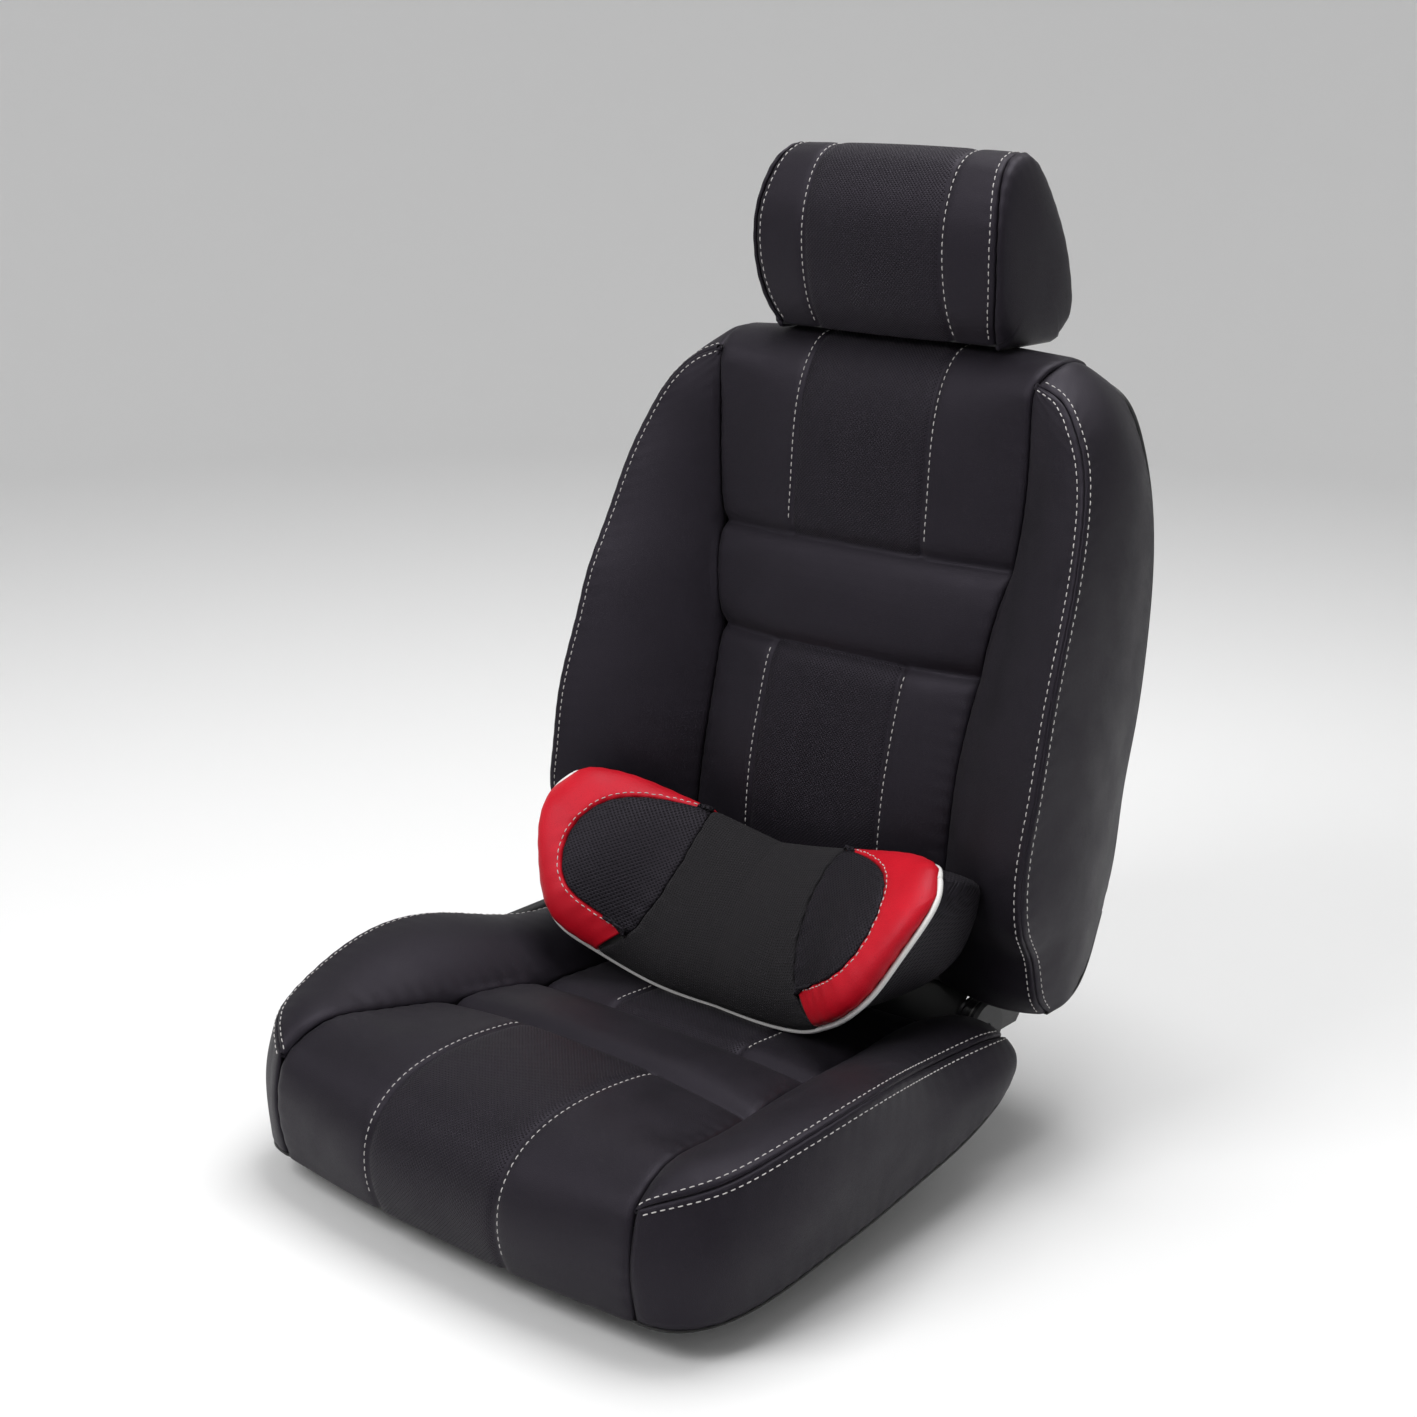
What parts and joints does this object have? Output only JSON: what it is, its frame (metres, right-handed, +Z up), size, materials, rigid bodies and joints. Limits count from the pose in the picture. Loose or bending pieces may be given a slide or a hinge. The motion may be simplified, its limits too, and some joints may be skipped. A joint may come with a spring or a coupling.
{
  "type": "racing seat",
  "caption": "Padded front seat with raised side bolsters, floor slider rails, reclining back, adjustable headrest and loose lumbar pillow.",
  "frame": {"origin": "centre of the four floor bolts, on the face that the rails stand on", "axes": "+Z up, -Y towards the front of the seat, +X towards the sitter's left"},
  "size_m": [0.573, 0.69, 0.861],
  "materials": {
    "foam": "matte",
    "black_leather": "satin",
    "black_mesh": "matte",
    "red_leather": "satin",
    "white_piping": "satin",
    "black_plastic": "matte",
    "chrome": "polished",
    "spring_steel": "satin",
    "zinc_steel": "satin",
    "frame_steel": "satin"
  },
  "bodies": {
    "rails": {"lower_rail_left": "zinc_steel", "lower_rail_right": "zinc_steel", "rail_racks": "zinc_steel", "rail_stop_studs": "zinc_steel"},
    "seat": {"front_cross_tube": "frame_steel", "rail_brackets": "zinc_steel", "rail_rollers": "spring_steel", "rail_stop_blocks": "zinc_steel", "rear_cross_tube": "frame_steel", "recliner_bolts": "spring_steel", "recliner_bracket_left": "zinc_steel", "recliner_bracket_right": "zinc_steel", "recliner_caps": "black_plastic", "recliner_housings": "frame_steel", "release_pins": "chrome", "seat_bolster_cover_left": "black_leather", "seat_bolster_cover_right": "black_leather", "seat_bolster_foam_left": "foam", "seat_bolster_foam_right": "foam", "seat_cover": "black_leather", "seat_foam": "foam", "seat_pan": "frame_steel", "seat_side_frame_left": "frame_steel", "seat_side_frame_right": "frame_steel", "seat_springs": "spring_steel", "upper_rail_left": "zinc_steel", "upper_rail_right": "zinc_steel"},
    "back": {"back_bolster_cover_left": "black_leather", "back_bolster_cover_right": "black_leather", "back_bolster_foam_left": "foam", "back_bolster_foam_right": "foam", "back_cover": "black_leather", "back_foam": "foam", "back_frame_tube": "frame_steel", "back_lower_tube": "frame_steel", "back_rear_panel": "black_plastic", "back_side_plate_left": "frame_steel", "back_side_plate_right": "frame_steel", "back_springs": "spring_steel", "headrest_guide_left": "black_plastic", "headrest_guide_right": "black_plastic", "headrest_sleeves": "frame_steel", "recliner_discs": "frame_steel"},
    "headrest": {"headrest_base": "black_plastic", "headrest_core": "black_plastic", "headrest_cover": "black_leather", "headrest_foam": "foam", "headrest_post_left": "chrome", "headrest_post_right": "chrome"},
    "headrest_button": {"headrest_button": "black_plastic"},
    "recliner_lever": {"recliner_rod": "spring_steel", "recliner_lever": "frame_steel", "lever_grip": "black_plastic"},
    "release_bar": {"release_bar": "frame_steel", "latch_plates": "zinc_steel"},
    "pillow": {"pillow_band_left": "red_leather", "pillow_band_right": "red_leather", "pillow_cover": "black_mesh", "pillow_fill": "foam", "pillow_piping": "white_piping"}
  },
  "joints": [
    {"name": "seat_slide", "type": "slide", "parent": "rails", "child": "seat", "axis": [0, 1, 0], "range_m": [-0.075, 0.075]},
    {"name": "back_recline", "type": "hinge", "parent": "seat", "child": "back", "pos_m": [0, 0.238, 0.108], "axis": [-1, 0, 0], "range_deg": [0, 50]},
    {"name": "lever_turn", "type": "hinge", "parent": "seat", "child": "recliner_lever", "pos_m": [0, 0.238, 0.108], "axis": [-1, 0, 0], "range_deg": [0, 25], "stiffness_Nm_per_rad": 6, "springref_deg": -8.59},
    {"name": "release_lift", "type": "hinge", "parent": "seat", "child": "release_bar", "pos_m": [0, -0.06, 0.0255], "axis": [-1, 0, 0], "range_deg": [0, 12], "stiffness_Nm_per_rad": 8, "springref_deg": -8.59},
    {"name": "headrest_height", "type": "slide", "parent": "back", "child": "headrest", "axis": [0, 0.1736, 0.9848], "range_m": [0, 0.065]},
    {"name": "button_press", "type": "slide", "parent": "back", "child": "headrest_button", "axis": [-1, 0, 0], "range_m": [0, 0.003], "stiffness_N_per_m": 400, "springref_m": -0.001},
    {"name": "pillow_lift", "type": "slide", "parent": "seat", "child": "pillow", "axis": [0, -0.6, 0.8], "range_m": [0, 0.3]}
  ]
}
